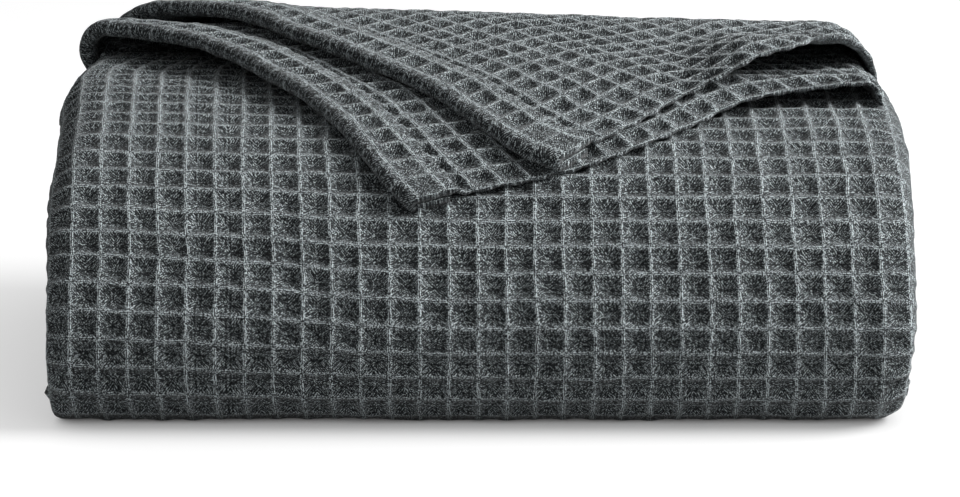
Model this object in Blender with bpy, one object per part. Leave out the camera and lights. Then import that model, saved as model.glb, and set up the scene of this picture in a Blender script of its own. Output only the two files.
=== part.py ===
"""Waffle blanket folded into a bundle.

One rectangle of thick waffle-weave cotton, folded back and forth into a stack. The outermost
layer runs round the front, the top, the base and the back of the stack, and its sides are
tucked in. Two corners of the cloth are turned over on top, one above the other, and point to
the front. All of it is one piece of cloth, so it is one solid.

Metres, +Z up. The origin is in the middle of the base, and the front faces -Y.
"""
import math

import bmesh
import bpy
import numpy as np

# Driving sizes
WIDTH = 0.358
CELL = 0.012
CLOTH = 0.0027
HEM_WIDTH = CELL
HEM_RISE = 0.0021
PLIES = 29
CLEAR = 0.0009
JOIN = 0.0012

# The bundle seen from its left side: the outer face of the outermost layer, clockwise from
# the front edge of the base. Columns: distance behind the front-most line, height.
OUTLINE = (
    (0.0280, 0.0000),
    (0.0150, 0.0055),
    (0.0060, 0.0155),
    (0.0020, 0.0285),
    (0.0030, 0.0425),
    (0.0085, 0.0560),
    (0.0180, 0.0695),
    (0.0305, 0.0825),
    (0.0460, 0.0950),
    (0.0670, 0.1060),
    (0.0890, 0.1130),
    (0.1370, 0.1205),
    (0.1850, 0.1230),
    (0.2150, 0.1230),
    (0.2400, 0.1185),
    (0.2570, 0.1050),
    (0.2650, 0.0850),
    (0.2670, 0.0600),
    (0.2630, 0.0300),
    (0.2520, 0.0090),
    (0.2360, 0.0000),
    (0.2000, 0.0000),
    (0.0640, 0.0000),
)

# The edges of the two turned corners, from the tip outwards, laid out flat on the bundle.
# Columns: distance to the right of the middle, distance along the outline from the base.
LOWER_HEM_EDGE = (
    (-0.029, 0.112),
    (-0.044, 0.133),
    (-0.068, 0.178),
    (-0.095, 0.218),
    (-0.120, 0.248),
    (-0.152, 0.275),
    (-0.195, 0.295),
    (-0.245, 0.310),
)
LOWER_PLAIN_EDGE = (
    (-0.029, 0.112),
    (0.000, 0.121),
    (0.043, 0.135),
    (0.080, 0.158),
    (0.104, 0.177),
    (0.130, 0.190),
    (0.165, 0.197),
    (0.240, 0.207),
)
UPPER_HEM_EDGE = (
    (0.032, 0.131),
    (0.016, 0.141),
    (-0.003, 0.163),
    (-0.020, 0.186),
    (-0.056, 0.224),
    (-0.085, 0.252),
    (-0.112, 0.283),
    (-0.160, 0.318),
    (-0.245, 0.368),
)
UPPER_PLAIN_EDGE = (
    (0.032, 0.131),
    (0.051, 0.148),
    (0.071, 0.167),
    (0.092, 0.193),
    (0.116, 0.224),
    (0.143, 0.253),
    (0.165, 0.267),
    (0.240, 0.300),
)

# How high the turned corners lie above the outermost layer, towards the two ends.
# Columns: distance along the outline, lower corner left, lower right, upper left, upper right.
LAY = (
    (0.100, 0.0036, 0.0036, 0.0075, 0.0075),
    (0.150, 0.0040, 0.0038, 0.0080, 0.0080),
    (0.170, 0.0050, 0.0048, 0.0092, 0.0090),
    (0.185, 0.0060, 0.0085, 0.0105, 0.0125),
    (0.205, 0.0075, 0.0115, 0.0125, 0.0155),
    (0.225, 0.0095, 0.0095, 0.0155, 0.0155),
    (0.250, 0.0130, 0.0075, 0.0195, 0.0160),
    (0.285, 0.0145, 0.0065, 0.0235, 0.0190),
    (0.320, 0.0120, 0.0060, 0.0205, 0.0160),
    (0.345, 0.0075, 0.0050, 0.0130, 0.0115),
    (0.360, 0.0036, 0.0036, 0.0072, 0.0072),
    (0.372, 0.0012, 0.0012, 0.0028, 0.0028),
    (0.410, 0.0012, 0.0012, 0.0024, 0.0024),
)
LAY_LEFT = -0.10
LAY_RIGHT = 0.14
LOWER_REACH = 0.388
UPPER_REACH = 0.374

# The middle of the whole bundle, corners and all, where the origin is.
# Columns: distance to the right of the cloth's middle, distance behind the front-most line.
MIDDLE = (-0.0019, 0.1359)

# How the layers turn down at the two sides of the bundle
WRAP_TURN = 0.009
WRAP_LEFT_FOOT_TURN = 0.005
WRAP_RIGHT_FOOT_TURN = 0.010
WRAP_FOOT_HEIGHT = 0.045
WRAP_RETURN = 0.005
# Columns: how far it stands out past the outermost layer, the radius it turns with, its drop.
LOWER_SIDES = ((0.0032, 0.012, 0.006), (0.0013, 0.012, 0.010))
UPPER_SIDES = ((0.0065, 0.026, 0.006), (0.0048, 0.020, 0.008))

# The layers inside: how unevenly their folds end, the steps round a fold, and the places
# from front to back where a layer's side follows the bundle, as shares of its depth
FOLD_UNEVEN = 0.0035
FOLD_STEPS = 4
DEPTH_SHARES = (0.0, 0.02, 0.06, 0.5, 0.94, 0.98, 1.0)

# The two ends of the outermost layer overlap low on the back
INNER_END = 0.442
TUCK_START = 0.392
TUCK_END = 0.412
OUTER_END = 0.422


def through(points, steps=12, closed=False):
    """A smooth curve through points, with steps pieces between each two of them."""
    points = np.array(points)
    count = len(points)
    spans = count if closed else count - 1
    curve = []
    for i in range(spans):
        if closed:
            before, start, end, after = (points[(i + k) % count] for k in (-1, 0, 1, 2))
        else:
            before = points[max(i - 1, 0)]
            start = points[i]
            end = points[i + 1]
            after = points[min(i + 2, count - 1)]
        for step in range(steps):
            t = step / steps
            curve.append(
                start
                + 0.5 * t * (end - before)
                + 0.5 * t**2 * (2 * before - 5 * start + 4 * end - after)
                + 0.5 * t**3 * (3 * start - before - 3 * end + after)
            )
    curve.append(points[0] if closed else points[-1])
    return np.array(curve)


def lengths(curve):
    """The distance along a curve to each of its points."""
    return np.concatenate([[0.0], np.cumsum(np.linalg.norm(np.diff(curve, axis=0), axis=1))])


def eased(t):
    """0 below 0, 1 above 1, and a soft rise between."""
    t = np.clip(t, 0.0, 1.0)
    return t * t * (3.0 - 2.0 * t)


# The outline as a closed curve, lying flat on the base, and its outward directions
outline = through(OUTLINE, closed=True)
outline[:, 1] = np.maximum(outline[:, 1], 0.0)
along = lengths(outline)
around = along[-1]
heading = np.gradient(outline, axis=0)
heading /= np.linalg.norm(heading, axis=1)[:, None]
outward = np.stack([-heading[:, 1], heading[:, 0]], axis=1)


def on_outline(s, lift):
    """The place lift above the outline at distance s along it, as y and z."""
    s = np.mod(s, around)
    y, z = (np.interp(s, along, outline[:, k]) for k in (0, 1))
    out_y, out_z = (np.interp(s, along, outward[:, k]) for k in (0, 1))
    return y + out_y * lift, z + out_z * lift


def over_side(x, half, turn):
    """Cloth x away from the middle that turns down at half: its true x, and its drop."""
    flat = half - turn
    angle = np.clip((np.abs(x) - flat) / turn, 0.0, math.pi / 2)
    hanging = np.maximum(np.abs(x) - flat - turn * math.pi / 2, 0.0)
    reach = np.minimum(np.abs(x), flat) + turn * np.sin(angle)
    return np.sign(x) * reach, turn * (1.0 - np.cos(angle)) + hanging


def turned_width(half, turn, drop):
    """How far from the middle cloth reaches that turns down at half and hangs by drop."""
    return half - turn + turn * math.pi / 2 + drop


def side_marks(half, turn, drop, middle_steps, turn_steps=5):
    """Distances across the cloth, from edge to edge, closer together where it turns."""
    flat = half - turn
    right = [flat + turn * math.pi / 2 * k / turn_steps for k in range(1, turn_steps + 1)]
    right.append(turned_width(half, turn, drop))
    middle = list(np.linspace(-flat, flat, middle_steps + 1))
    return np.array([-x for x in reversed(right)] + middle + right)


def marks_along(start, end, turn=math.radians(11), reach=0.024, fine=0.001):
    """Distances along the outline, closer together where it bends."""
    direction = 1.0 if end > start else -1.0
    marks = [start]
    turned = 0.0
    s = start
    last = None
    while direction * (end - s) > fine:
        index = int(np.searchsorted(along, s % around))
        angle = math.atan2(*heading[min(index, len(heading) - 1)])
        if last is not None:
            turned += abs((angle - last + math.pi) % (2 * math.pi) - math.pi)
        last = angle
        if turned > turn or abs(s - marks[-1]) > reach:
            marks.append(s)
            turned = 0.0
        s += direction * fine
    if abs(end - marks[-1]) < 3 * fine:
        marks.pop()
    marks.append(end)
    return np.array(marks)


def grid_faces(rows, columns):
    """The squares of a grid, as corner numbers."""
    faces = []
    for i in range(rows - 1):
        for j in range(columns - 1):
            corner = i * columns + j
            faces.append((corner, corner + 1, corner + columns + 1, corner + columns))
    return faces


def cloth_solid(name, face, back, faces):
    """A closed solid between two layers of points that share the same faces."""
    mesh = bmesh.new()
    top = [mesh.verts.new(point) for point in face]
    under = [mesh.verts.new(point) for point in back]
    for corners in faces:
        mesh.faces.new([top[k] for k in corners])
    rim = [edge for edge in mesh.edges if len(edge.link_loops) == 1]
    partner = dict(zip(top, under))
    for corners in faces:
        mesh.faces.new([under[k] for k in reversed(corners)])
    for edge in rim:
        loop = edge.link_loops[0]
        first = loop.vert
        second = loop.link_loop_next.vert
        mesh.faces.new([second, first, partner[first], partner[second]])
    bmesh.ops.recalc_face_normals(mesh, faces=mesh.faces)
    data = bpy.data.meshes.new(name)
    mesh.to_mesh(data)
    mesh.free()
    solid = bpy.data.objects.new(name, data)
    solid.location = (-MIDDLE[0], -MIDDLE[1], 0.0)
    bpy.context.collection.objects.link(solid)
    return solid


def sheet_normals(points, faces):
    """The direction out of a sheet at each of its points."""
    normals = np.zeros_like(points)
    for corners in faces:
        first = points[corners[2]] - points[corners[0]]
        second = points[corners[-1]] - points[corners[1]]
        for k in corners:
            normals[k] += np.cross(first, second)
    return normals / np.linalg.norm(normals, axis=1)[:, None]


def outermost_layer():
    """The layer that runs round the stack, from its tucked end to its open end."""
    across = side_marks(WIDTH / 2, WRAP_TURN, WRAP_RETURN, middle_steps=8)[::-1]
    stations = marks_along(INNER_END, OUTER_END - around)
    foot_turn = np.where(across < 0, WRAP_LEFT_FOOT_TURN, WRAP_RIGHT_FOOT_TURN)
    points = []
    for s in stations:
        tuck = (CLOTH + CLEAR) * eased((s - TUCK_START) / (TUCK_END - TUCK_START))
        height = on_outline(s, 0.0)[1]
        turn = foot_turn + (WRAP_TURN - foot_turn) * eased(height / WRAP_FOOT_HEIGHT)
        x, drop = over_side(across, WIDTH / 2, turn)
        y, z = on_outline(s, -tuck - drop)
        points += list(zip(x, y, z))
    points = np.array(points)
    faces = grid_faces(len(stations), len(across))
    back = points - CLOTH * sheet_normals(points, faces)
    back[:, 2] = np.maximum(back[:, 2], 0.0)
    return cloth_solid("blanket", points, back, faces)


def stack():
    """The layers inside, one section folded back and forth from side to side."""
    border = outline - (CLOTH + CLEAR) * outward
    crown = int(np.argmax(border[:, 1]))
    foot = crown + int(np.argmax(outline[crown:, 1] < CLOTH))
    front = border[: crown + 1]
    back = border[crown:foot][::-1]
    lowest = 1.5 * CLOTH - JOIN
    highest = border[:, 1].max() - 0.5 * CLOTH - CLEAR
    pitch = (highest - lowest) / (PLIES - 1)
    wide = WIDTH / 2 - CLOTH - CLEAR
    section = [(-(wide - pitch), lowest)]
    for ply in range(PLIES):
        side = 1 if ply % 2 == 0 else -1
        uneven = FOLD_UNEVEN * (0.5 + 0.5 * math.sin(2.4 * ply + 0.7))
        reach = wide - uneven - (pitch + CLOTH) / 2
        z = lowest + ply * pitch
        section.append((0.0, z))
        if ply == PLIES - 1:
            section.append((side * reach, z))
            break
        for step in range(FOLD_STEPS + 1):
            angle = math.pi * step / FOLD_STEPS
            out = pitch / 2 * math.sin(angle)
            up = pitch / 2 * (1 - math.cos(angle))
            section.append((side * (reach + out), z + up))
    section = np.array(section)
    run = np.gradient(section, axis=0)
    run /= np.linalg.norm(run, axis=1)[:, None]
    sideways = np.stack([-run[:, 1], run[:, 0]], axis=1)
    corner = WRAP_TURN - CLOTH
    faces = []
    for offset in (0.5 * CLOTH, -0.5 * CLOTH):
        points = []
        for (x, z), level in zip(section + offset * sideways, section[:, 1]):
            levels = (level - 0.5 * CLOTH, level + 0.5 * CLOTH)
            start = np.interp(levels, front[:, 1], front[:, 0]).max()
            end = np.interp(levels, back[:, 1], back[:, 0]).min()
            for share in DEPTH_SHARES:
                y = start + share * (end - start)
                inside = min(np.linalg.norm(border - (y, z), axis=1).min(), corner)
                short = corner - math.sqrt(corner**2 - (corner - inside) ** 2)
                points.append((x * (1 - short / wide), y, z))
        faces.append(np.array(points))
    squares = grid_faces(len(section), len(DEPTH_SHARES))
    return cloth_solid("stack", faces[0], faces[1], squares)


def corner_layer(name, hem_edge, plain_edge, columns, sides, reach):
    """A turned corner: its threads run along its two edges, and its back end hangs behind."""
    hem_line = through(hem_edge)
    plain_line = through(plain_edge)
    hem_run = lengths(hem_line)
    plain_run = lengths(plain_line)
    down = np.arange(0.0, hem_run[-1], CELL)
    hem_marks = [0.0, HEM_WIDTH, HEM_WIDTH + 0.2 * CELL]
    over = np.concatenate([hem_marks, np.arange(2 * CELL, plain_run[-1], CELL)])
    mesh = bmesh.new()
    hemmed = mesh.verts.layers.float.new("hemmed")
    grid = []
    for a in down:
        along_hem = [np.interp(a, hem_run, hem_line[:, k]) for k in (0, 1)]
        for b in over:
            along_plain = [np.interp(b, plain_run, plain_line[:, k]) for k in (0, 1)]
            x, s = (along_hem[k] + along_plain[k] - hem_line[0, k] for k in (0, 1))
            vert = mesh.verts.new((x, s, 0.0))
            vert[hemmed] = 1.0 if b <= HEM_WIDTH else 0.0
            grid.append(vert)
    for corners in grid_faces(len(down), len(over)):
        mesh.faces.new([grid[k] for k in corners])
    left, right = ((WIDTH / 2 + outstand, turn, drop) for outstand, turn, drop in sides)
    limits = (
        ((turned_width(*right), 0, 0), (1, 0, 0)),
        ((-turned_width(*left), 0, 0), (-1, 0, 0)),
        ((0, reach, 0), (0, 1, 0)),
    )
    for place, away in limits:
        bmesh.ops.bisect_plane(
            mesh,
            geom=mesh.verts[:] + mesh.edges[:] + mesh.faces[:],
            dist=0.002,
            plane_co=place,
            plane_no=away,
            clear_outer=True,
        )
    mesh.verts.index_update()
    flat_x, s, _ = np.array([vert.co[:] for vert in mesh.verts]).T
    hem = np.array([vert[hemmed] for vert in mesh.verts])
    faces = [tuple(vert.index for vert in face.verts) for face in mesh.faces]
    mesh.free()
    lay = through(LAY)
    at_left, at_right = (np.interp(s, lay[:, 0], lay[:, column]) for column in columns)
    share = np.clip((flat_x - LAY_LEFT) / (LAY_RIGHT - LAY_LEFT), 0.0, 1.0)
    lift = at_left + (at_right - at_left) * share
    half, turn = (np.where(flat_x < 0, left[k], right[k]) for k in (0, 1))
    x, drop = over_side(flat_x, half, turn)
    y, z = on_outline(s, lift - drop)
    points = np.stack([x, y, z], axis=1)
    normals = sheet_normals(points, faces)
    face = points + normals * (HEM_RISE * hem)[:, None]
    back = points - normals * CLOTH
    return cloth_solid(name, face, back, faces)


def cotton():
    """Slate-grey cotton, matt."""
    material = bpy.data.materials.new("waffle_cotton")
    material.use_nodes = True
    shader = material.node_tree.nodes["Principled BSDF"]
    shader.inputs["Base Color"].default_value = (0.085, 0.095, 0.10, 1.0)
    shader.inputs["Roughness"].default_value = 0.95
    shader.inputs["Metallic"].default_value = 0.0
    return material


for old in list(bpy.data.objects):
    bpy.data.objects.remove(old, do_unlink=True)

blanket = outermost_layer()
layers = (
    stack(),
    corner_layer(
        "lower_corner", LOWER_HEM_EDGE, LOWER_PLAIN_EDGE, (1, 2), LOWER_SIDES, LOWER_REACH
    ),
    corner_layer(
        "upper_corner", UPPER_HEM_EDGE, UPPER_PLAIN_EDGE, (3, 4), UPPER_SIDES, UPPER_REACH
    ),
)
for layer in layers:
    layer.hide_render = True
    layer.display_type = "WIRE"
    join = blanket.modifiers.new(layer.name, "BOOLEAN")
    join.operation = "UNION"
    join.solver = "EXACT"
    join.object = layer
blanket.data.materials.append(cotton())
blanket.data.shade_smooth()
blanket.data.set_sharp_from_angle(angle=math.radians(35))
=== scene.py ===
"""The looks of a waffle blanket folded into a bundle.

The CAD blanket is one plain solid. Here its cloth gets its real thickness, its waffle relief
and its yarn: the layer round the bundle, the layers inside, and the two turned corners with
their sewn hems. Metres, +Z up, and the front faces -Y.
"""

import math

import bmesh
import bpy
import numpy as np
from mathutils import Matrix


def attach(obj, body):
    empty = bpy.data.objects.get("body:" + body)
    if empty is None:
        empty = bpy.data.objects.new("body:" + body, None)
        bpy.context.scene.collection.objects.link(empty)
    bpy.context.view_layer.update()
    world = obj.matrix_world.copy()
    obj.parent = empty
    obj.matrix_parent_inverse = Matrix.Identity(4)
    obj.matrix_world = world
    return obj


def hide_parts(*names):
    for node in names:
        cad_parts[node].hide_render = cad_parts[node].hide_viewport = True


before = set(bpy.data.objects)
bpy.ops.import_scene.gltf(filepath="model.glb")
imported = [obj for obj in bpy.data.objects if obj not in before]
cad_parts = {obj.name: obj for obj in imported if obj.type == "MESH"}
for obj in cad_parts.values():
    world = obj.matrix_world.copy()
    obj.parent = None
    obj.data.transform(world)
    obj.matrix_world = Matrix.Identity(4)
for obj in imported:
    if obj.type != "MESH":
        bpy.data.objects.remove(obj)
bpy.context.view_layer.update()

# Camera
# A long lens a little over a metre away, looking 13 degrees down at the front.
view = bpy.data.cameras.new("front_view")
view.sensor_width = 36.0
view.lens = 121.5
view.clip_start = 0.05
camera = bpy.data.objects.new("front_view", view)
camera.location = (0.0011, -1.4119, 0.3740)
camera.rotation_euler = (math.radians(77.0), 0.0, 0.0)
bpy.context.collection.objects.link(camera)
bpy.context.scene.camera = camera

# The layer round the bundle, front and top
# The outermost thickness of the folded cloth. It comes from under the bundle, runs up the
# front and over the top, and its sides turn in over the folded layers. It is woven cotton.
WIDTH = 0.358
CLOTH = 0.0027
CLEAR = 0.0009
# The waffle cells: how far apart their rows and columns are, and where a column starts
ROW = 0.012
COLUMN = 0.01185
COLUMN_START = -0.0016

# The bundle seen from its right side, clockwise from the front edge of the base.
# Columns: distance behind the front-most line, height.
OUTLINE = (
    (0.0280, 0.0000),
    (0.0150, 0.0055),
    (0.0060, 0.0155),
    (0.0020, 0.0285),
    (0.0030, 0.0425),
    (0.0085, 0.0560),
    (0.0180, 0.0695),
    (0.0305, 0.0825),
    (0.0460, 0.0950),
    (0.0670, 0.1060),
    (0.0890, 0.1130),
    (0.1370, 0.1205),
    (0.1850, 0.1230),
    (0.2150, 0.1230),
    (0.2400, 0.1185),
    (0.2570, 0.1050),
    (0.2650, 0.0850),
    (0.2670, 0.0600),
    (0.2630, 0.0300),
    (0.2520, 0.0090),
    (0.2360, 0.0000),
    (0.2000, 0.0000),
    (0.0640, 0.0000),
)
# The middle of the bundle: left of the cloth's middle, and behind the front-most line
MIDDLE = (-0.0019, 0.1359)

# The sides turn down with this radius, and go on by a short return. Low on the back, one end
# of the cloth is tucked in under the other.
WRAP_TURN = 0.009
WRAP_RETURN = 0.005
WRAP_THICKNESS = 0.0036
TUCK_START = 0.392
TUCK_END = 0.412

# How far the sides stand out past the width, and the radius that they turn down with.
# Columns: distance along the outline, left side, right side, left radius, right radius.
SIDES = (
    (0.000, 0.0000, -0.0040, 0.005, 0.010),
    (0.012, 0.0000, -0.0030, 0.006, 0.010),
    (0.030, 0.0000, -0.0035, 0.008, 0.010),
    (0.060, 0.0000, -0.0005, 0.009, 0.009),
    (0.084, 0.0012, 0.0005, 0.011, 0.010),
    (0.108, 0.0034, 0.0010, 0.014, 0.011),
    (0.132, 0.0046, 0.0022, 0.017, 0.013),
    (0.168, 0.0044, 0.0044, 0.019, 0.014),
    (0.204, 0.0064, 0.0046, 0.019, 0.013),
    (0.228, 0.0100, 0.0030, 0.018, 0.011),
    (0.260, 0.0075, 0.0010, 0.012, 0.009),
    (0.300, 0.0000, 0.0000, 0.009, 0.009),
)
# Where it shows, the cloth isn't quite square. Above LEAN_START its columns lean out to the
# left, and a little more near the left side. Its rows rise to the left, most of all at the
# shoulder, and also near the foot. Round SAG_PLACE they sag, except at the left.
LEAN = 0.062
LEAN_START = 0.085
LEAN_AT_FOOT = 0.0008
LEANING_FROM = -0.010
SIDE_LEANING_FROM = -0.090
LEANING_FADE = 0.050
SIDE_LEAN_SHARE = 0.2
LEFT_REACH = 0.15
LEFT_MOST = 1.2
LEFT_RISE = 0.0055
LEFT_CURVE = 1.3
SHOULDER = 0.200
SHOULDER_RISE = 0.0045
SAG_PLACE = 0.080
SAG = 0.0024
SAG_END = -0.10
SAG_FADE = 0.06
FOOT_PLACE = 0.028
FOOT_RISE = 0.0024
FOOT_RISE_LOST_AT_LEFT = 0.5
HUMP_LENGTH = 0.060
FOOT_HUMP_LENGTH = 0.6 * HUMP_LENGTH
SHOWN_FROM = 0.030
HIDDEN_START = 0.245
HIDDEN_END = 0.300

# How much of the relief is pulled flat round the two sides and at the foot, and where
SIDE_PULL = 0.75
SIDE_PULL_START = 0.008
SIDE_PULL_FADE = 0.010
FOOT_PULL = 0.85
FOOT_PULL_START = 0.004
FOOT_PULL_FADE = 0.018

FRONT_BOTTOM = -3 * ROW
FRONT_TOP = 25 * ROW
# Places within a cell where the mesh has a line, closer together at the ridges
FRONT_STEPS = (0.0, 0.065, 0.16, 0.35, 0.65, 0.84, 0.935)
LEAST_STEP = 0.0004


def through(points, steps=12, closed=False):
    """A smooth curve through points, with steps pieces between each two of them."""
    points = np.array(points)
    count = len(points)
    spans = count if closed else count - 1
    curve = []
    for i in range(spans):
        if closed:
            before, start, end, after = (points[(i + k) % count] for k in (-1, 0, 1, 2))
        else:
            before = points[max(i - 1, 0)]
            start = points[i]
            end = points[i + 1]
            after = points[min(i + 2, count - 1)]
        for step in range(steps):
            t = step / steps
            curve.append(
                start
                + 0.5 * t * (end - before)
                + 0.5 * t**2 * (2 * before - 5 * start + 4 * end - after)
                + 0.5 * t**3 * (3 * start - before - 3 * end + after)
            )
    curve.append(points[0] if closed else points[-1])
    return np.array(curve)


def lengths(curve):
    """The distance along a curve to each of its points."""
    return np.concatenate([[0.0], np.cumsum(np.linalg.norm(np.diff(curve, axis=0), axis=1))])


def eased(t):
    """0 below 0, 1 above 1, and a soft rise between."""
    t = np.clip(t, 0.0, 1.0)
    return t * t * (3.0 - 2.0 * t)


outline = through(OUTLINE, closed=True)
outline[:, 1] = np.maximum(outline[:, 1], 0.0)
along = lengths(outline)
around = along[-1]
heading = np.gradient(outline, axis=0)
heading /= np.linalg.norm(heading, axis=1)[:, None]
outward = np.stack([-heading[:, 1], heading[:, 0]], axis=1)


def on_outline(s, lift):
    """The place lift above the outline at distance s along it, as y and z."""
    s = np.mod(s, around)
    y, z = (np.interp(s, along, outline[:, k]) for k in (0, 1))
    out_y, out_z = (np.interp(s, along, outward[:, k]) for k in (0, 1))
    return y + out_y * lift, z + out_z * lift


def hump(t, middle, length):
    """1 at the middle, and a soft fall to 0 at length to either side."""
    return eased(1.0 - np.abs(t - middle) / length)


def over_side(x, half, turn, curl=math.pi / 2):
    """Cloth x from the middle that turns down at half through curl: its true x and its drop."""
    flat = half - turn
    angle = np.clip((np.abs(x) - flat) / turn, 0.0, curl)
    past = np.maximum(np.abs(x) - flat - turn * curl, 0.0)
    reach = np.minimum(np.abs(x), flat) + turn * np.sin(angle) + past * np.cos(curl)
    return np.sign(x) * reach, turn * (1.0 - np.cos(angle)) + past * np.sin(curl)


def turned_width(half, turn, curl, past):
    """The flat width, from the middle, of cloth that turns down at half and goes on by past."""
    return half - turn + turn * curl + past


def in_place(x, y, z):
    """Points from the cloth's middle and the front-most line, put round the origin."""
    return np.stack([x - MIDDLE[0], y - MIDDLE[1], z], axis=-1)


def pulled(x, s):
    """Where the place x across and s along the cloth ends up, pulled out of square."""
    hidden = eased((s - HIDDEN_START) / (HIDDEN_END - HIDDEN_START))
    shown = eased(s / SHOWN_FROM) * (1.0 - hidden)
    left = np.clip(-x / LEFT_REACH, 0.0, LEFT_MOST)
    lean = LEAN_AT_FOOT + LEAN * np.clip(s - LEAN_START, 0.0, HIDDEN_START - LEAN_START)
    near_side = eased((SIDE_LEANING_FROM - x) / LEANING_FADE)
    leaning = eased((LEANING_FROM - x) / LEANING_FADE) + SIDE_LEAN_SHARE * near_side
    at_foot = (1.0 - FOOT_RISE_LOST_AT_LEFT * left) * hump(s, FOOT_PLACE, FOOT_HUMP_LENGTH)
    rise = LEFT_RISE * left**LEFT_CURVE * shown
    rise = rise + SHOULDER_RISE * left * hump(s, SHOULDER, HUMP_LENGTH)
    rise = rise + FOOT_RISE * at_foot
    sag = SAG * eased((x - SAG_END) / SAG_FADE) * hump(s, SAG_PLACE, HUMP_LENGTH)
    return x - lean * shown * leaning, s + rise - sag


def round_bundle(x, s):
    """The outer face of the layer round the bundle, x across it and s along the outline."""
    x, s = pulled(x, s)
    tuck = (CLOTH + CLEAR) * eased((s - TUCK_START) / (TUCK_END - TUCK_START))
    places, *sides = zip(*SIDES)
    left, right, left_turn, right_turn = (np.interp(s, places, side) for side in sides)
    half = WIDTH / 2 + np.where(x < 0, left, right)
    true_x, drop = over_side(x, half, np.where(x < 0, left_turn, right_turn))
    return in_place(true_x, *on_outline(s, -tuck - drop))


def facing(place, x, s, step=0.0005):
    """The direction out of the cloth that place lays down, at each x and s."""
    across = place(x + step, s) - place(x - step, s)
    up = place(x, s + step) - place(x, s - step)
    out = np.cross(across, up)
    return out / np.linalg.norm(out, axis=-1)[..., None]


def cell_marks(start, end, origin, pitch, steps):
    """Distances from start to end with a line at each of the steps in every cell."""
    first = math.floor((start - origin) / pitch)
    last = math.ceil((end - origin) / pitch)
    marks = [origin + (cell + step) * pitch for cell in range(first, last) for step in steps]
    inside = [mark for mark in marks if start + LEAST_STEP < mark < end - LEAST_STEP]
    return np.array([start, *inside, end])


def grid_faces(rows, columns):
    """The squares of a grid, as corner numbers."""
    corner = (np.arange(rows - 1)[:, None] * columns + np.arange(columns - 1)).ravel()
    squares = np.stack([corner, corner + 1, corner + columns + 1, corner + columns], axis=1)
    return squares.tolist()


def add_node(tree, kind, settings=(), **inputs):
    """A node with its settings and inputs. An input's name has _ for a space."""
    node = tree.nodes.new(kind)
    for name, value in dict(settings).items():
        setattr(node, name, value)
    for name, value in inputs.items():
        socket = node.inputs[name.replace("_", " ")]
        if isinstance(value, bpy.types.NodeSocket):
            tree.links.new(value, socket)
        else:
            socket.default_value = value
    return node


def calc(tree, operation, *values):
    """The result of a Math node."""
    node = tree.nodes.new("ShaderNodeMath")
    node.operation = operation
    for socket, value in zip(node.inputs, values):
        if isinstance(value, bpy.types.NodeSocket):
            tree.links.new(value, socket)
        else:
            socket.default_value = value
    return node.outputs[0]


def from_middle(tree, cells):
    """How far each place is from the middle of its cell: 0 there, 1 on the ridge."""
    inside = calc(tree, "FRACT", cells)
    return calc(tree, "MULTIPLY", calc(tree, "ABSOLUTE", calc(tree, "SUBTRACT", inside, 0.5)), 2.0)


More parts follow.
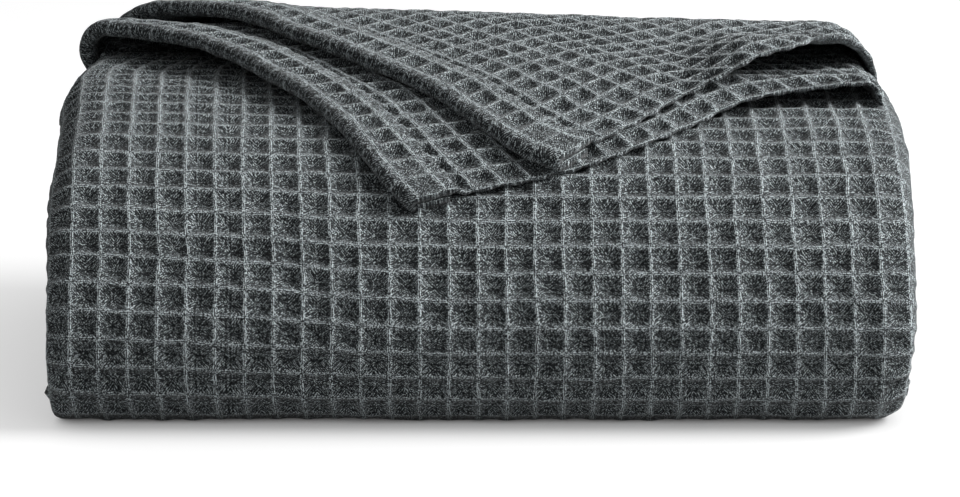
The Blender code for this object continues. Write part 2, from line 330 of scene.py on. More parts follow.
def waffle_relief():
    """Geometry Nodes that press a pit into every cell, and leave the cloth a little uneven."""
    tree = bpy.data.node_groups.new("waffle relief", "GeometryNodeTree")
    face = tree.interface
    face.new_socket("Cloth", in_out="INPUT", socket_type="NodeSocketGeometry")
    sizes = (
        ("Pit depth", 0.0035),
        ("Inner pit depth", 0.0012),
        ("Ridge edge", 0.88),
        ("Wall curve", 0.80),
        ("Crossing dip", 0.0003),
        ("Crossing sharpness", 6.0),
        ("Uneven height", 0.0012),
        ("Uneven length", 0.030),
        ("Cell wobble", 0.0007),
        ("Wobble length", 0.010),
        ("Seed", 1.0),
    )
    for name, value in sizes:
        socket = face.new_socket(name, in_out="INPUT", socket_type="NodeSocketFloat")
        socket.default_value = value
    face.new_socket("Material", in_out="INPUT", socket_type="NodeSocketMaterial")
    face.new_socket("Cloth", in_out="OUTPUT", socket_type="NodeSocketGeometry")
    given = tree.nodes.new("NodeGroupInput").outputs

    weave = add_node(
        tree, "GeometryNodeInputNamedAttribute", {"data_type": "FLOAT_VECTOR"}, Name="weave"
    )
    amount = add_node(
        tree, "GeometryNodeInputNamedAttribute", {"data_type": "FLOAT"}, Name="relief"
    )
    inside = add_node(
        tree, "GeometryNodeInputNamedAttribute", {"data_type": "FLOAT"}, Name="inside"
    )
    cells = add_node(tree, "ShaderNodeSeparateXYZ", Vector=weave.outputs[0])
    half_cell = calc(tree, "MULTIPLY", inside.outputs[0], 0.5)
    from_u = from_middle(tree, calc(tree, "ADD", cells.outputs["X"], half_cell))
    from_v = from_middle(tree, calc(tree, "ADD", cells.outputs["Y"], half_cell))
    out_of_pit = calc(tree, "DIVIDE", calc(tree, "MAXIMUM", from_u, from_v), given["Ridge edge"])
    into_pit = calc(tree, "SUBTRACT", 1.0, calc(tree, "MINIMUM", out_of_pit, 1.0))
    pit = calc(tree, "POWER", into_pit, given["Wall curve"])
    crossing = calc(
        tree, "POWER", calc(tree, "MINIMUM", from_u, from_v), given["Crossing sharpness"]
    )
    depth = add_node(
        tree,
        "ShaderNodeMix",
        Factor=inside.outputs[0],
        A=given["Pit depth"],
        B=given["Inner pit depth"],
    )
    pressed = calc(
        tree,
        "ADD",
        calc(tree, "MULTIPLY", pit, depth.outputs[0]),
        calc(tree, "MULTIPLY", crossing, given["Crossing dip"]),
    )
    pressed = calc(tree, "MULTIPLY", pressed, amount.outputs[0])
    normal = tree.nodes.new("GeometryNodeInputNormal")
    pushed = add_node(
        tree,
        "ShaderNodeVectorMath",
        {"operation": "SCALE"},
        Vector=normal.outputs["Normal"],
        Scale=calc(tree, "MULTIPLY", pressed, -1.0),
    )

    position = tree.nodes.new("GeometryNodeInputPosition")
    moved = pushed.outputs[0]
    # Columns: length of the unevenness, its height, a shift that keeps the two apart
    uneven = (
        ("Uneven length", "Uneven height", 0.0),
        ("Wobble length", "Cell wobble", 7.3),
    )
    for length, height, offset in uneven:
        noise = add_node(
            tree,
            "ShaderNodeTexNoise",
            {"noise_dimensions": "4D"},
            Vector=position.outputs[0],
            W=calc(tree, "ADD", given["Seed"], offset),
            Scale=calc(tree, "DIVIDE", 1.0, given[length]),
            Detail=1.0,
        )
        centred = add_node(
            tree,
            "ShaderNodeVectorMath",
            {"operation": "SUBTRACT"},
            Vector=noise.outputs["Color"],
        )
        centred.inputs[1].default_value = (0.5, 0.5, 0.5)
        shift = add_node(
            tree,
            "ShaderNodeVectorMath",
            {"operation": "SCALE"},
            Vector=centred.outputs[0],
            Scale=calc(tree, "MULTIPLY", given[height], 2.0),
        )
        total = add_node(tree, "ShaderNodeVectorMath", {"operation": "ADD"}, Vector=moved)
        tree.links.new(shift.outputs[0], total.inputs[1])
        moved = total.outputs[0]
    shaped = add_node(tree, "GeometryNodeSetPosition", Geometry=given["Cloth"], Offset=moved)

    placed = add_node(tree, "ShaderNodeSeparateXYZ", Vector=position.outputs[0])
    above = add_node(
        tree,
        "ShaderNodeCombineXYZ",
        X=placed.outputs["X"],
        Y=placed.outputs["Y"],
        Z=calc(tree, "MAXIMUM", placed.outputs["Z"], 0.0),
    )
    resting = add_node(
        tree,
        "GeometryNodeSetPosition",
        Geometry=shaped.outputs[0],
        Position=above.outputs[0],
    )
    smooth = add_node(tree, "GeometryNodeSetShadeSmooth", Geometry=resting.outputs[0])
    whole = add_node(tree, "GeometryNodeRealizeInstances", Geometry=smooth.outputs[0])
    finished = add_node(
        tree, "GeometryNodeSetMaterial", Geometry=whole.outputs[0], Material=given["Material"]
    )
    out = tree.nodes.new("NodeGroupOutput")
    tree.links.new(finished.outputs[0], out.inputs[0])
    return tree


def shader_group(name, inputs, outputs):
    """An empty shader node group with named number inputs and outputs."""
    tree = bpy.data.node_groups.new(name, "ShaderNodeTree")
    for label, kind, value in inputs:
        socket = tree.interface.new_socket(label, in_out="INPUT", socket_type=kind)
        if value is not None:
            socket.default_value = value
    for label in outputs:
        tree.interface.new_socket(label, in_out="OUTPUT", socket_type="NodeSocketFloat")
    given = tree.nodes.new("NodeGroupInput").outputs
    result = tree.nodes.new("NodeGroupOutput").inputs
    return tree, given, result


def heathered_yarn():
    """Paler and darker fibres spun into one yarn: a fine, uneven speckle."""
    tree, given, result = shader_group(
        "heathered yarn",
        (
            ("Vector", "NodeSocketVector", None),
            ("Speck size", "NodeSocketFloat", 0.00045),
            ("Patch size", "NodeSocketFloat", 0.02),
        ),
        ("Specks", "Patches"),
    )
    specks = add_node(
        tree,
        "ShaderNodeTexNoise",
        Vector=given["Vector"],
        Scale=calc(tree, "DIVIDE", 1.0, given["Speck size"]),
        Detail=1.0,
        Roughness=0.6,
    )
    patches = add_node(
        tree,
        "ShaderNodeTexNoise",
        Vector=given["Vector"],
        Scale=calc(tree, "DIVIDE", 1.0, given["Patch size"]),
        Detail=2.0,
    )
    spread = add_node(
        tree,
        "ShaderNodeMapRange",
        Value=specks.outputs[0],
        From_Min=0.45,
        From_Max=0.55,
    )
    tree.links.new(spread.outputs[0], result["Specks"])
    tree.links.new(patches.outputs[0], result["Patches"])
    return tree


def waffle_threads():
    """Threads that run along the ridge that their side of the cell belongs to, lighter on their
    crowns with painted shade in the gaps between them. The group also gives masks for a painted
    highlight on the ridges and their crossings, and for painted shade in the pits.
    """
    tree, given, result = shader_group(
        "waffle threads with painted shade and highlight",
        (
            ("Weave", "NodeSocketVector", None),
            ("Threads a cell", "NodeSocketFloat", 15.0),
            ("Thread wander", "NodeSocketFloat", 1.4),
            ("Wanders a cell", "NodeSocketFloat", 2.5),
            ("Wall spacing", "NodeSocketFloat", 0.36),
            ("Flecks a cell", "NodeSocketFloat", 9.0),
            ("Fleck scale", "NodeSocketFloat", 1.5),
            ("Shift of uprights", "NodeSocketFloat", 31.0),
            ("Ridge share", "NodeSocketFloat", 0.88),
            ("Pit wall", "NodeSocketFloat", 0.30),
        ),
        ("Threads", "Flecks", "Upright ridge highlight", "Level ridge highlight", "Crossing", "Pit"),
    )
    cells = add_node(tree, "ShaderNodeSeparateXYZ", Vector=given["Weave"])
    u = cells.outputs["X"]
    v = cells.outputs["Y"]
    from_u = from_middle(tree, u)
    from_v = from_middle(tree, v)
    upright = calc(tree, "GREATER_THAN", from_u, from_v)
    level = calc(tree, "SUBTRACT", 1.0, upright)
    on_ridge = calc(
        tree, "GREATER_THAN", calc(tree, "MAXIMUM", from_u, from_v), given["Ridge share"]
    )
    from_diagonal = calc(tree, "ABSOLUTE", calc(tree, "SUBTRACT", from_u, from_v))
    ridge_place = calc(
        tree,
        "ADD",
        calc(tree, "MULTIPLY", u, upright),
        calc(tree, "MULTIPLY", v, level),
    )
    across = add_node(
        tree,
        "ShaderNodeMix",
        Factor=on_ridge,
        A=calc(tree, "MULTIPLY", from_diagonal, given["Wall spacing"]),
        B=ridge_place,
    ).outputs[0]
    wander = add_node(
        tree,
        "ShaderNodeTexNoise",
        Vector=given["Weave"],
        Scale=given["Wanders a cell"],
        Detail=1.0,
    )
    wandering = calc(
        tree,
        "MULTIPLY",
        calc(tree, "SUBTRACT", wander.outputs[0], 0.5),
        given["Thread wander"],
    )
    count = calc(
        tree,
        "ADD",
        calc(tree, "MULTIPLY", across, given["Threads a cell"]),
        wandering,
    )
    lengthways = calc(
        tree,
        "ADD",
        calc(tree, "MULTIPLY", v, upright),
        calc(tree, "MULTIPLY", u, level),
    )
    spun = add_node(
        tree,
        "ShaderNodeCombineXYZ",
        X=count,
        Y=calc(tree, "MULTIPLY", lengthways, given["Flecks a cell"]),
        Z=calc(tree, "MULTIPLY", upright, given["Shift of uprights"]),
    )
    flecks = add_node(
        tree,
        "ShaderNodeTexNoise",
        Vector=spun.outputs[0],
        Scale=given["Fleck scale"],
        Detail=1.0,
    )
    spread = add_node(
        tree,
        "ShaderNodeMapRange",
        Value=flecks.outputs[0],
        From_Min=0.38,
        From_Max=0.62,
    )
    # Each thread's crown, 1 on its top and 0 between threads. As colour it paints shade into the
    # gaps between threads; it also gives the bump its height.
    turns = calc(tree, "COSINE", calc(tree, "MULTIPLY", count, 2 * math.pi))
    crown = calc(tree, "MULTIPLY_ADD", turns, -0.5, 0.5)
    # Masks for a painted highlight on the upright ridges, on the level ridges, and where the two
    # cross
    past_u = calc(tree, "GREATER_THAN", from_u, given["Ridge share"])
    past_v = calc(tree, "GREATER_THAN", from_v, given["Ridge share"])
    both = calc(tree, "MULTIPLY", past_u, past_v)
    only_u = calc(tree, "SUBTRACT", past_u, both)
    only_v = calc(tree, "SUBTRACT", past_v, both)
    # Painted shade in the pits: 1 over the inner part of each pit, falling to 0 at the ridge
    into_pit = calc(tree, "SUBTRACT", 1.0, calc(tree, "MAXIMUM", from_u, from_v))
    pit = calc(tree, "MINIMUM", calc(tree, "DIVIDE", into_pit, given["Pit wall"]), 1.0)
    results = (
        ("Threads", crown),
        ("Flecks", spread.outputs[0]),
        ("Upright ridge highlight", calc(tree, "MULTIPLY", only_u, crown)),
        ("Level ridge highlight", calc(tree, "MULTIPLY", only_v, crown)),
        ("Crossing", both),
        ("Pit", pit),
    )
    for name, value in results:
        tree.links.new(value, result[name])
    return tree


# Where the lightness of the cloth starts from, and how high a speck stands beside a thread
DARKEST = -0.18
SPECK_HEIGHT = 0.5


def cotton(name, yarn_group, threads_and_painted_light_group):
    """Slate-grey waffle cotton: threads, ridges and speckled yarn on a matt shader, with painted
    shade between the threads and in the pits, and a painted highlight on the ridges.
    """
    material = bpy.data.materials.new(name)
    material.use_nodes = True
    tree = material.node_tree
    shader = tree.nodes["Principled BSDF"]
    shader.inputs["Roughness"].default_value = 0.9
    shader.inputs["Specular IOR Level"].default_value = 0.25
    shader.inputs["Sheen Weight"].default_value = 0.15
    shader.inputs["Sheen Roughness"].default_value = 0.5
    place = tree.nodes.new("ShaderNodeTexCoord").outputs["Object"]
    weave = add_node(tree, "ShaderNodeAttribute", {"attribute_name": "weave"})
    band = add_node(tree, "ShaderNodeAttribute", {"attribute_name": "band"})
    yarn = add_node(tree, "ShaderNodeGroup", {"node_tree": yarn_group}, Vector=place)
    threads = add_node(
        tree,
        "ShaderNodeGroup",
        {"node_tree": threads_and_painted_light_group},
        Weave=weave.outputs["Vector"],
    )
    # Columns: what makes the cloth lighter, by how much. The Threads term also paints shade in the
    # gaps between threads, the ridge and crossing terms paint a highlight on the ridges, and the
    # Pit term paints shade in the pits.
    parts = (
        (yarn.outputs["Specks"], 0.46),
        (yarn.outputs["Patches"], 0.10),
        (threads.outputs["Threads"], 0.34),
        (threads.outputs["Flecks"], 0.42),
        (threads.outputs["Upright ridge highlight"], 0.14),
        (threads.outputs["Level ridge highlight"], 0.05),
        (threads.outputs["Crossing"], 0.01),
        (threads.outputs["Pit"], -0.15),
        (band.outputs["Fac"], 0.05),
    )
    light = DARKEST
    for value, share in parts:
        light = calc(tree, "MULTIPLY_ADD", value, share, light)
    shades = add_node(tree, "ShaderNodeValToRGB", Fac=light)
    ramp = shades.color_ramp
    # Columns: lightness, colour
    stops = (
        (0.10, (0.004, 0.005, 0.006)),
        (0.35, (0.016, 0.019, 0.021)),
        (0.55, (0.078, 0.089, 0.094)),
        (0.85, (0.680, 0.760, 0.780)),
    )
    while len(ramp.elements) < len(stops):
        ramp.elements.new(0.5)
    for element, (at, colour) in zip(ramp.elements, stops):
        element.position = at
        element.color = (*colour, 1.0)
    tree.links.new(shades.outputs["Color"], shader.inputs["Base Color"])
    height = calc(
        tree,
        "MULTIPLY_ADD",
        yarn.outputs["Specks"],
        SPECK_HEIGHT,
        threads.outputs["Threads"],
    )
    bump = add_node(tree, "ShaderNodeBump", Strength=0.7, Distance=0.00009, Height=height)
    tree.links.new(bump.outputs["Normal"], shader.inputs["Normal"])
    return material


relief_tree = waffle_relief()
yarn_group = heathered_yarn()
threads_and_painted_light_group = waffle_threads()
waffle_cotton = cotton("waffle_cotton_yarn", yarn_group, threads_and_painted_light_group)


def woven(
    name, points, faces, weave, relief, band, seed, thickness=CLOTH, full=None, **sizes
):
    """A cloth piece of its real thickness round points, with its waffle relief pressed in.

    Full is the share of the thickness that each point has, where it isn't all of it.
    """
    mesh = bpy.data.meshes.new(name)
    mesh.from_pydata(points, [], faces)
    cells = np.zeros((len(points), 3))
    cells[:, :2] = weave
    attribute = mesh.attributes.new("weave", "FLOAT_VECTOR", "POINT")
    attribute.data.foreach_set("vector", cells.ravel())
    for label, values in (("relief", relief), ("band", band)):
        attribute = mesh.attributes.new(label, "FLOAT", "POINT")
        attribute.data.foreach_set("value", np.broadcast_to(values, len(points)).astype(float))
    base = bpy.data.objects.new(name + "_flat", mesh)
    bpy.context.collection.objects.link(base)
    base.vertex_groups.new(name="inside")
    thick = base.modifiers.new("thickness", "SOLIDIFY")
    thick.thickness = thickness
    thick.offset = 0.0
    thick.use_even_offset = False
    thick.shell_vertex_group = "inside"
    if full is not None:
        share = base.vertex_groups.new(name="share of thickness")
        for index, amount in enumerate(full):
            share.add([index], float(amount), "REPLACE")
        thick.vertex_group = share.name
    pressed = base.modifiers.new("waffle relief", "NODES")
    pressed.node_group = relief_tree
    values = {"Seed": seed, "Material": waffle_cotton, **sizes}
    for socket in relief_tree.interface.items_tree:
        if socket.in_out == "INPUT" and socket.name in values:
            pressed[socket.identifier] = values[socket.name]
    ready = base.evaluated_get(bpy.context.evaluated_depsgraph_get())
    plain = bpy.data.meshes.new_from_object(ready)
    plain.name = name
    piece = bpy.data.objects.new(name, plain)
    bpy.context.collection.objects.link(piece)
    bpy.data.objects.remove(base)
    return piece


across_wrap = 2 * turned_width(WIDTH / 2, WRAP_TURN, math.pi / 2, WRAP_RETURN)


def wrap_piece(name, bottom, top, steps, seed, **sizes):
    """A stretch of the layer round the bundle, from bottom to top along the outline."""
    half = across_wrap / 2
    across = cell_marks(-half, half, COLUMN_START, COLUMN, steps)
    up = cell_marks(bottom, top, 0.0, ROW, steps)
    s, x = (grid.ravel() for grid in np.meshgrid(up, across, indexing="ij"))
    points = round_bundle(x, s)
    points -= facing(round_bundle, x, s) * WRAP_THICKNESS / 2
    weave = np.stack([(x - COLUMN_START) / COLUMN, s / ROW], axis=1)
    faces = grid_faces(len(up), len(across))
    at_side = eased((np.abs(x) - WIDTH / 2 + SIDE_PULL_START) / SIDE_PULL_FADE)
    at_foot = 1.0 - eased((s - FOOT_PULL_START) / FOOT_PULL_FADE)
    relief = (1.0 - SIDE_PULL * at_side) * (1.0 - FOOT_PULL * at_foot)
    return woven(name, points, faces, weave, relief, 0.0, seed, WRAP_THICKNESS, **sizes)


def declare(piece, width, length, held, area=None):
    """Puts a piece of the blanket under the root body, and hides the plain CAD blanket."""
    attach(piece, "root")
    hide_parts("blanket")


front_layer = wrap_piece("front_layer", FRONT_BOTTOM, FRONT_TOP, FRONT_STEPS, 1.0)
declare(front_layer, across_wrap, FRONT_TOP - FRONT_BOTTOM, "folded")

# The layer round the bundle, base and back
# The same thickness of cloth, going on under the bundle and up its back, where its two ends
# overlap low down.
# Where the two ends are along the outline
INNER_END = 0.442
OUTER_END = 0.422
BASE_STEPS = (0.0, 0.2, 0.5, 0.8)
BACK_STEPS = (0.0, 0.12, 0.32, 0.68, 0.88)

base_layer = wrap_piece("base_layer", OUTER_END - around, FRONT_BOTTOM, BASE_STEPS, 2.0)
declare(base_layer, across_wrap, FRONT_BOTTOM - OUTER_END + around, "folded")
back_layer = wrap_piece("back_layer", FRONT_TOP, INNER_END, BACK_STEPS, 3.0)
declare(back_layer, across_wrap, INNER_END - FRONT_TOP, "folded")

# The layers inside
# The rest of the blanket, folded back and forth from side to side. Only the folds at the two
# sides show, and they end a little unevenly.
PLIES = 29
SUNK_INTO_BASE = 0.0012
FOLD_UNEVEN = 0.0035
FOLD_WAVE = 2.4
FOLD_WAVE_START = 0.7
FOLD_STEPS = 6
# Mesh lines close to each fold
NEAR_FOLD = (0.0035, 0.007, 0.012)
INNER_STEPS = (0.0, 0.2, 0.5, 0.8)
INNER_DEPTH = 0.25
INNER_RELIEF = 0.5
INNER_UNEVEN = {"Uneven height": 0.0004, "Cell wobble": 0.0003}

border = outline - (CLOTH + CLEAR) * outward
crown = int(np.argmax(border[:, 1]))
foot = crown + int(np.argmax(outline[crown:, 1] < CLOTH))
front_border = border[: crown + 1]
back_border = border[crown:foot][::-1]
lowest = 1.5 * CLOTH - SUNK_INTO_BASE
highest = border[:, 1].max() - 0.5 * CLOTH - CLEAR
pitch = (highest - lowest) / (PLIES - 1)
wide = WIDTH / 2 - CLOTH - CLEAR
fold_corner = WRAP_TURN - CLOTH

section = [(-(wide - pitch), lowest)]
for ply in range(PLIES):
    side = 1 if ply % 2 == 0 else -1
    uneven = FOLD_UNEVEN * (0.5 + 0.5 * math.sin(FOLD_WAVE * ply + FOLD_WAVE_START))
    reach = wide - uneven - (pitch + CLOTH) / 2
    z = lowest + ply * pitch
    section += [(-side * (reach - near), z) for near in NEAR_FOLD if ply > 0]
    section.append((0.0, z))
    section += [(side * (reach - near), z) for near in reversed(NEAR_FOLD)]
    if ply == PLIES - 1:
        section.append((side * reach, z))
        break
    for step in range(FOLD_STEPS + 1):
        angle = math.pi * step / FOLD_STEPS
        out = pitch / 2 * math.sin(angle)
        up = pitch / 2 * (1 - math.cos(angle))
        section.append((side * (reach + out), z + up))
section = np.array(section)
section_run = lengths(section)
depth_marks = cell_marks(0.0, INNER_DEPTH, 0.0, ROW, INNER_STEPS)
points = []
for x, z in section:
    levels = (z - 0.5 * CLOTH, z + 0.5 * CLOTH)
    start = np.interp(levels, front_border[:, 1], front_border[:, 0]).max()
    end = np.interp(levels, back_border[:, 1], back_border[:, 0]).min()
    y = start + depth_marks / INNER_DEPTH * (end - start)
    away = [min(np.linalg.norm(border - (place, z), axis=1).min(), fold_corner) for place in y]
    short = fold_corner - np.sqrt(fold_corner**2 - (fold_corner - np.array(away)) ** 2)
    points.append(in_place(x * (1 - short / wide), y, np.full(len(y), z)))
points = np.concatenate(points)
inner_weave = np.stack(
    [np.repeat(section_run / COLUMN, len(depth_marks)), np.tile(depth_marks / ROW, len(section))],
    axis=1,
)
inner_layers = woven(
    "inner_layers",
    points,
    grid_faces(len(section), len(depth_marks)),
    inner_weave,
    INNER_RELIEF,
    0.0,
    4.0,
    **INNER_UNEVEN,
)
declare(inner_layers, INNER_DEPTH, section_run[-1], "folded")

# The lower turned corner
# A corner of the cloth turned over to the front. Its left edge is hemmed: the cloth is folded
# under once and sewn down. Its right edge is the woven edge of the cloth, a flat narrow band.
# Columns: distance to the right of the middle, distance along the outline from the base.
LOWER_HEM_EDGE = (
    (-0.029, 0.112),
    (-0.044, 0.133),
    (-0.068, 0.178),
    (-0.095, 0.218),
    (-0.120, 0.248),
    (-0.152, 0.275),
    (-0.195, 0.295),
    (-0.245, 0.310),
)
LOWER_PLAIN_EDGE = (
    (-0.029, 0.112),
    (0.000, 0.121),
    (0.043, 0.135),
    (0.080, 0.158),
    (0.104, 0.177),
    (0.130, 0.190),
    (0.165, 0.197),
    (0.240, 0.207),
)
# How high the turned corners lie above the outermost layer, towards the two ends.
# Columns: distance along the outline, lower corner left, lower right, upper left, upper right.
LAY = (
    (0.100, 0.0040, 0.0040, 0.0080, 0.0080),
    (0.150, 0.0042, 0.0041, 0.0083, 0.0083),
    (0.170, 0.0050, 0.0048, 0.0092, 0.0090),
    (0.185, 0.0060, 0.0085, 0.0105, 0.0120),
    (0.205, 0.0075, 0.0112, 0.0125, 0.0127),
    (0.225, 0.0095, 0.0050, 0.0155, 0.0127),
    (0.250, 0.0130, 0.0040, 0.0190, 0.0130),
    (0.285, 0.0145, 0.0040, 0.0222, 0.0162),
    (0.320, 0.0120, 0.0040, 0.0205, 0.0130),
    (0.345, 0.0075, 0.0050, 0.0130, 0.0115),
    (0.360, 0.0036, 0.0036, 0.0072, 0.0072),
    (0.372, 0.0012, 0.0012, 0.0028, 0.0028),
    (0.410, 0.0012, 0.0012, 0.0024, 0.0024),
)
# Between these two places across the bundle, the height goes over from left to right
LAY_LEFT = -0.10
LAY_RIGHT = 0.14
LOWER_REACH = 0.388
LOWER_FLAT = (0.39, 0.28)
# Columns: how far the side stands out past the width, its radius, how far it curls round, in
# radians, and how far it goes straight on after that. The first row is the left side.
LOWER_SIDES = ((0.0055, 0.0125, 2.5, 0.001), (-0.0035, 0.010, 1.4, 0.004))
CORNER_STEPS = (0.0, 0.065, 0.16, 0.32, 0.5, 0.68, 0.84, 0.935)
CORNER_THICKNESS = 0.0038
CORNER_PIT = 0.0037
EDGE_THICKNESS_SHARE = 0.50
EDGE_THINNING = 0.004

# The hem: its width, how high it lies above the cloth beside it, and the bend at its fold. Its
# relief starts at its first ridge and ends at a flat band, by the seam that sews it down. At
# the corner's tip it stands a little open.
HEM_WIDTH = 0.0215
HEM_RISE = 0.0025
HEM_BEND = 0.0018
HEM_FIRST_RIDGE = 0.0050
HEM_FLAT_SHARE = 0.6
HEM_BAND = 0.0160
HEM_EDGE = 0.001
HEM_OPEN = 0.0009
HEM_OPEN_RISE = 1.4
HEM_OPEN_LENGTH = 0.020
HEM_SLOPE = 0.0022
BEND_STEPS = 5
# Mesh lines on the part folded under, measured from the fold, and beside the seam
UNDER_MARKS = (0.003 - HEM_WIDTH, -0.014, -0.007)
SEAM_MARKS = (-0.0008, -0.0001, 0.0005, 0.0012)
SEAM_MIDDLE = 0.0003
SEAM_CLEAR = 0.0012
SEAM_PLACE = 0.0004
SEAM_WIDTH = 0.0010
# The woven edge, and how much of the relief is lost in it, in the band and in the hem's tip
SELVEDGE = 0.0018
SELVEDGE_FADE = 0.002
SELVEDGE_BAND = 0.5
SELVEDGE_PULL = 0.3
BAND_PULL = 0.9
TIP_PULL = 0.85
TIP_LENGTH = 1.5 * ROW
# The sheet is made too long by this much, then cut at its ends. A cut that comes close to a
# mesh line runs along it.
PAST_EDGE = 0.02
CUT_SNAP = 0.0002
# The mouth at a corner's right end. Columns: height, flare, start, place, length.
NO_MOUTH = (0.0, 0.0, 0.1, 0.2, 0.1)
MOUTH_FADE = 0.035


def laid_corner(columns, sides, mouth):
    """A function that lays the flat cloth of a turned corner on the bundle."""
    lay = through(LAY)
    left, right = ((WIDTH / 2 + outstand, *turned) for outstand, *turned in sides)
    mouth_height, mouth_flare, mouth_start, mouth_place, mouth_length = mouth

    def place(x, s):
        at_left, at_right = (np.interp(s, lay[:, 0], lay[:, column]) for column in columns)
        share = np.clip((x - LAY_LEFT) / (LAY_RIGHT - LAY_LEFT), 0.0, 1.0)
        lift = at_left + (at_right - at_left) * share
        open_share = eased((x - mouth_start) / MOUTH_FADE) * hump(s, mouth_place, mouth_length)
        half, turn, curl = (np.where(x < 0, left[k], right[k]) for k in (0, 1, 2))
        half = half + mouth_flare * (x > 0) * hump(s, mouth_place + mouth_length / 2, mouth_length)
        true_x, drop = over_side(x, half, turn, curl)
        return in_place(true_x, *on_outline(s, lift + mouth_height * open_share - drop))

    return place, turned_width(*left), turned_width(*right)


def hem_fold(b, bend):
    """Cloth b past the hem's fold, or before it: how far it is from the fold, and how high."""
    angle = np.clip(b / bend, -math.pi / 2, math.pi / 2)
    past = np.maximum(np.abs(b) - bend * math.pi / 2, 0.0)
    return bend * (1.0 - np.cos(angle)) + past, bend * (np.sin(angle) - 1.0)


def corner_piece(name, hem_edge, plain_edge, columns, sides, reach, seed, mouth=NO_MOUTH):
    """A turned corner: its threads run along its two edges, and its back end hangs behind."""
    hem_line = through(hem_edge)
    plain_line = through(plain_edge)
    hem_run = lengths(hem_line)
    plain_run = lengths(plain_line)
    down = cell_marks(0.0, hem_run[-1], SELVEDGE, ROW, CORNER_STEPS)
    bend_step = HEM_BEND * math.pi / 8
    bend = [bend_step * k for k in range(-BEND_STEPS, BEND_STEPS)]
    rest = cell_marks(
        bend_step * BEND_STEPS, plain_run[-1] + PAST_EDGE, HEM_FIRST_RIDGE, ROW, CORNER_STEPS
    )
    rest = rest[np.abs(rest - HEM_WIDTH - SEAM_MIDDLE) > SEAM_CLEAR]
    seam = [HEM_WIDTH + mark for mark in SEAM_MARKS]
    over = np.sort(np.concatenate([UNDER_MARKS, bend, rest, seam]))
    a, b = (grid.ravel() for grid in np.meshgrid(down, over, indexing="ij"))
    opened = HEM_OPEN * (1.0 - eased(a / HEM_OPEN_LENGTH))
    away, height = hem_fold(b, HEM_BEND + opened)
    hem_top = 1.0 - eased((away - HEM_WIDTH + HEM_EDGE) / HEM_SLOPE)
    height = height + (HEM_RISE + HEM_OPEN_RISE * opened) * hem_top
    x, s = (
        np.interp(a, hem_run, hem_line[:, k])
        + np.interp(away, plain_run, plain_line[:, k])
        - hem_line[0, k]
        for k in (0, 1)
    )
    hemmed = 1.0 - eased((b - HEM_WIDTH) / HEM_EDGE)
    banded = eased((b - HEM_BAND) / HEM_EDGE) * hemmed
    woven_edge = 1.0 - eased((a - SELVEDGE) / SELVEDGE_FADE)
    tip = 1.0 - eased((a - TIP_LENGTH) / ROW)
    from_fold = b / HEM_FIRST_RIDGE
    relief = eased((from_fold - HEM_FLAT_SHARE) / (1.0 - HEM_FLAT_SHARE))
    relief = relief * (1.0 - BAND_PULL * banded) * (1.0 - SELVEDGE_PULL * woven_edge)
    relief = relief * (1.0 - TIP_PULL * tip * hemmed)
    seam_line = hump(b, HEM_WIDTH + SEAM_PLACE, SEAM_WIDTH)
    band = np.maximum(banded, SELVEDGE_BAND * woven_edge) - seam_line
    full = EDGE_THICKNESS_SHARE + (1.0 - EDGE_THICKNESS_SHARE) * eased(a / EDGE_THINNING)
    full = np.where(b < HEM_WIDTH - 2 * HEM_EDGE, 1.0, full)
    extra = (height, a / ROW, (b - HEM_FIRST_RIDGE) / ROW, relief, band, full)

    flat = bmesh.new()
    labels = ("height", "cells down", "cells over", "relief", "band", "full")
    layers = [flat.verts.layers.float.new(label) for label in labels]
    grid = []
    for place_x, place_s, *values in zip(x, s, *extra):
        vert = flat.verts.new((place_x, place_s, 0.0))
        for layer, value in zip(layers, values):
            vert[layer] = value
        grid.append(vert)
    for corners in grid_faces(len(down), len(over)):
        flat.faces.new([grid[k] for k in corners])
    place, left_width, right_width = laid_corner(columns, sides, mouth)
    limits = (
        ((right_width, 0, 0), (1, 0, 0)),
        ((-left_width, 0, 0), (-1, 0, 0)),
        ((0, reach, 0), (0, 1, 0)),
    )
    for through_point, cut_away in limits:
        bmesh.ops.bisect_plane(
            flat,
            geom=flat.verts[:] + flat.edges[:] + flat.faces[:],
            dist=CUT_SNAP,
            plane_co=through_point,
            plane_no=cut_away,
            clear_outer=True,
        )
    flat.verts.index_update()
    x, s, _ = np.array([vert.co[:] for vert in flat.verts]).T
    height, cells_down, cells_over, relief, band, full = (
        np.array([vert[layer] for vert in flat.verts]) for layer in layers
    )
    faces = [tuple(vert.index for vert in face.verts) for face in flat.faces]
    area = sum(face.calc_area() for face in flat.faces)
    flat.free()
    points = place(x, s)
    points += facing(place, x, s) * (height - CORNER_THICKNESS / 2)[:, None]
    weave = np.stack([cells_over, cells_down], axis=1)
    deep = {"Pit depth": CORNER_PIT}
    piece = woven(
        name, points, faces, weave, relief, band, seed, CORNER_THICKNESS, full, **deep
    )
    return piece, area


lower_corner, lower_area = corner_piece(
    "lower_corner",
    LOWER_HEM_EDGE,
    LOWER_PLAIN_EDGE,
    (1, 2),
    LOWER_SIDES,
    LOWER_REACH,
    5.0,
)
declare(lower_corner, *LOWER_FLAT, "folded", area=lower_area)

# The upper turned corner
# The corner of the next thickness of the cloth, turned over on top of the lower one.
UPPER_HEM_EDGE = (
    (0.032, 0.131),
    (0.016, 0.141),
    (-0.003, 0.163),
    (-0.020, 0.186),
    (-0.056, 0.224),
    (-0.085, 0.252),
    (-0.112, 0.283),
    (-0.160, 0.318),
    (-0.245, 0.368),
)
UPPER_PLAIN_EDGE = (
    (0.032, 0.131),
    (0.051, 0.148),
    (0.071, 0.166),
    (0.092, 0.186),
    (0.114, 0.196),
    (0.128, 0.205),
    (0.139, 0.213),
    (0.152, 0.228),
    (0.165, 0.238),
    (0.180, 0.250),
    (0.195, 0.262),
    (0.240, 0.290),
)
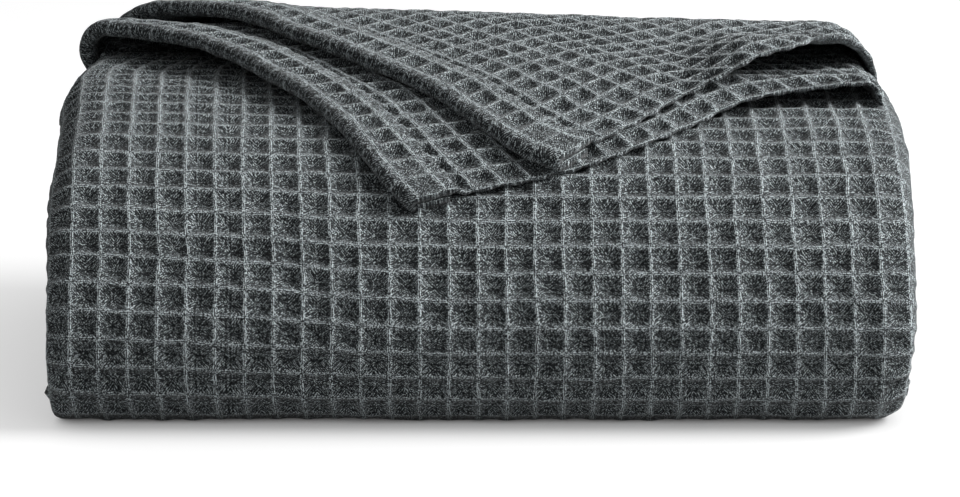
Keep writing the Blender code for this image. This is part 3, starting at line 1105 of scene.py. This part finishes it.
# The mouth at its right end, where it stands up clear of the lower corner
MOUTH_HEIGHT = 0.0115
MOUTH_FLARE = 0.0020
MOUTH_START = 0.085
MOUTH_PLACE = 0.212
MOUTH_LENGTH = 0.065
UPPER_REACH = 0.374
UPPER_FLAT = (0.40, 0.26)
UPPER_SIDES = ((0.0065, 0.026, 1.57, 0.006), (-0.0010, 0.022, 1.28, 0.012))

upper_corner, upper_area = corner_piece(
    "upper_corner",
    UPPER_HEM_EDGE,
    UPPER_PLAIN_EDGE,
    (3, 4),
    UPPER_SIDES,
    UPPER_REACH,
    6.0,
    (MOUTH_HEIGHT, MOUTH_FLARE, MOUTH_START, MOUTH_PLACE, MOUTH_LENGTH),
)
declare(upper_corner, *UPPER_FLAT, "folded", area=upper_area)

# Floor
# A plain pale sweep that the bundle lies on.
FLOOR_GLOW = 0.70
SHADE_SOFTNESS = 0.5

floor_mesh = bpy.data.meshes.new("floor")
floor_mesh.from_pydata(
    [(-9, -5, 0), (9, -5, 0), (9, 12, 0), (-9, 12, 0)], [], [(0, 1, 2, 3)]
)
floor = bpy.data.objects.new("floor", floor_mesh)
bpy.context.collection.objects.link(floor)
paint = bpy.data.materials.new("floor_paint")
paint.use_nodes = True
surface = paint.node_tree.nodes["Principled BSDF"]
surface.inputs["Roughness"].default_value = 0.7
surface.inputs["Specular IOR Level"].default_value = 0.2
# The floor looks white, but throws back only as much light as a grey one. It glows for the camera
# alone, and that glow carries a painted shadow that gets darker close to the bundle
seen = paint.node_tree.nodes.new("ShaderNodeLightPath").outputs["Is Camera Ray"]
nearby = add_node(
    paint.node_tree, "ShaderNodeAmbientOcclusion", {"samples": 12}, Distance=0.30
)
open_sky = calc(paint.node_tree, "POWER", nearby.outputs["AO"], SHADE_SOFTNESS)
white = add_node(
    paint.node_tree, "ShaderNodeMapRange", Value=seen, To_Min=0.50, To_Max=0.46
)
shaded = calc(paint.node_tree, "MULTIPLY", seen, open_sky)
glow = calc(paint.node_tree, "MULTIPLY", shaded, FLOOR_GLOW)
paint.node_tree.links.new(white.outputs[0], surface.inputs["Base Color"])
paint.node_tree.links.new(glow, surface.inputs["Emission Strength"])
surface.inputs["Emission Color"].default_value = (1.0, 1.0, 1.0, 1.0)
floor_mesh.materials.append(paint)

# Light
# A dim white room, and a wide soft lamp high up on the right.
world = bpy.data.worlds.new("white_room")
world.use_nodes = True
world.node_tree.nodes["Background"].inputs["Color"].default_value = (1.0, 1.0, 1.0, 1.0)
world.node_tree.nodes["Background"].inputs["Strength"].default_value = 0.25
bpy.context.scene.world = world
bpy.context.scene.view_settings.view_transform = "Standard"
lamp = bpy.data.lights.new("key_lamp", "AREA")
lamp.shape = "DISK"
lamp.size = 1.3
lamp.energy = 76.0
shining = bpy.data.objects.new("key_lamp", lamp)
shining.location = (1.9, -0.2, 1.4)
shining.rotation_euler = shining.location.to_track_quat("Z", "Y").to_euler()
bpy.context.collection.objects.link(shining)
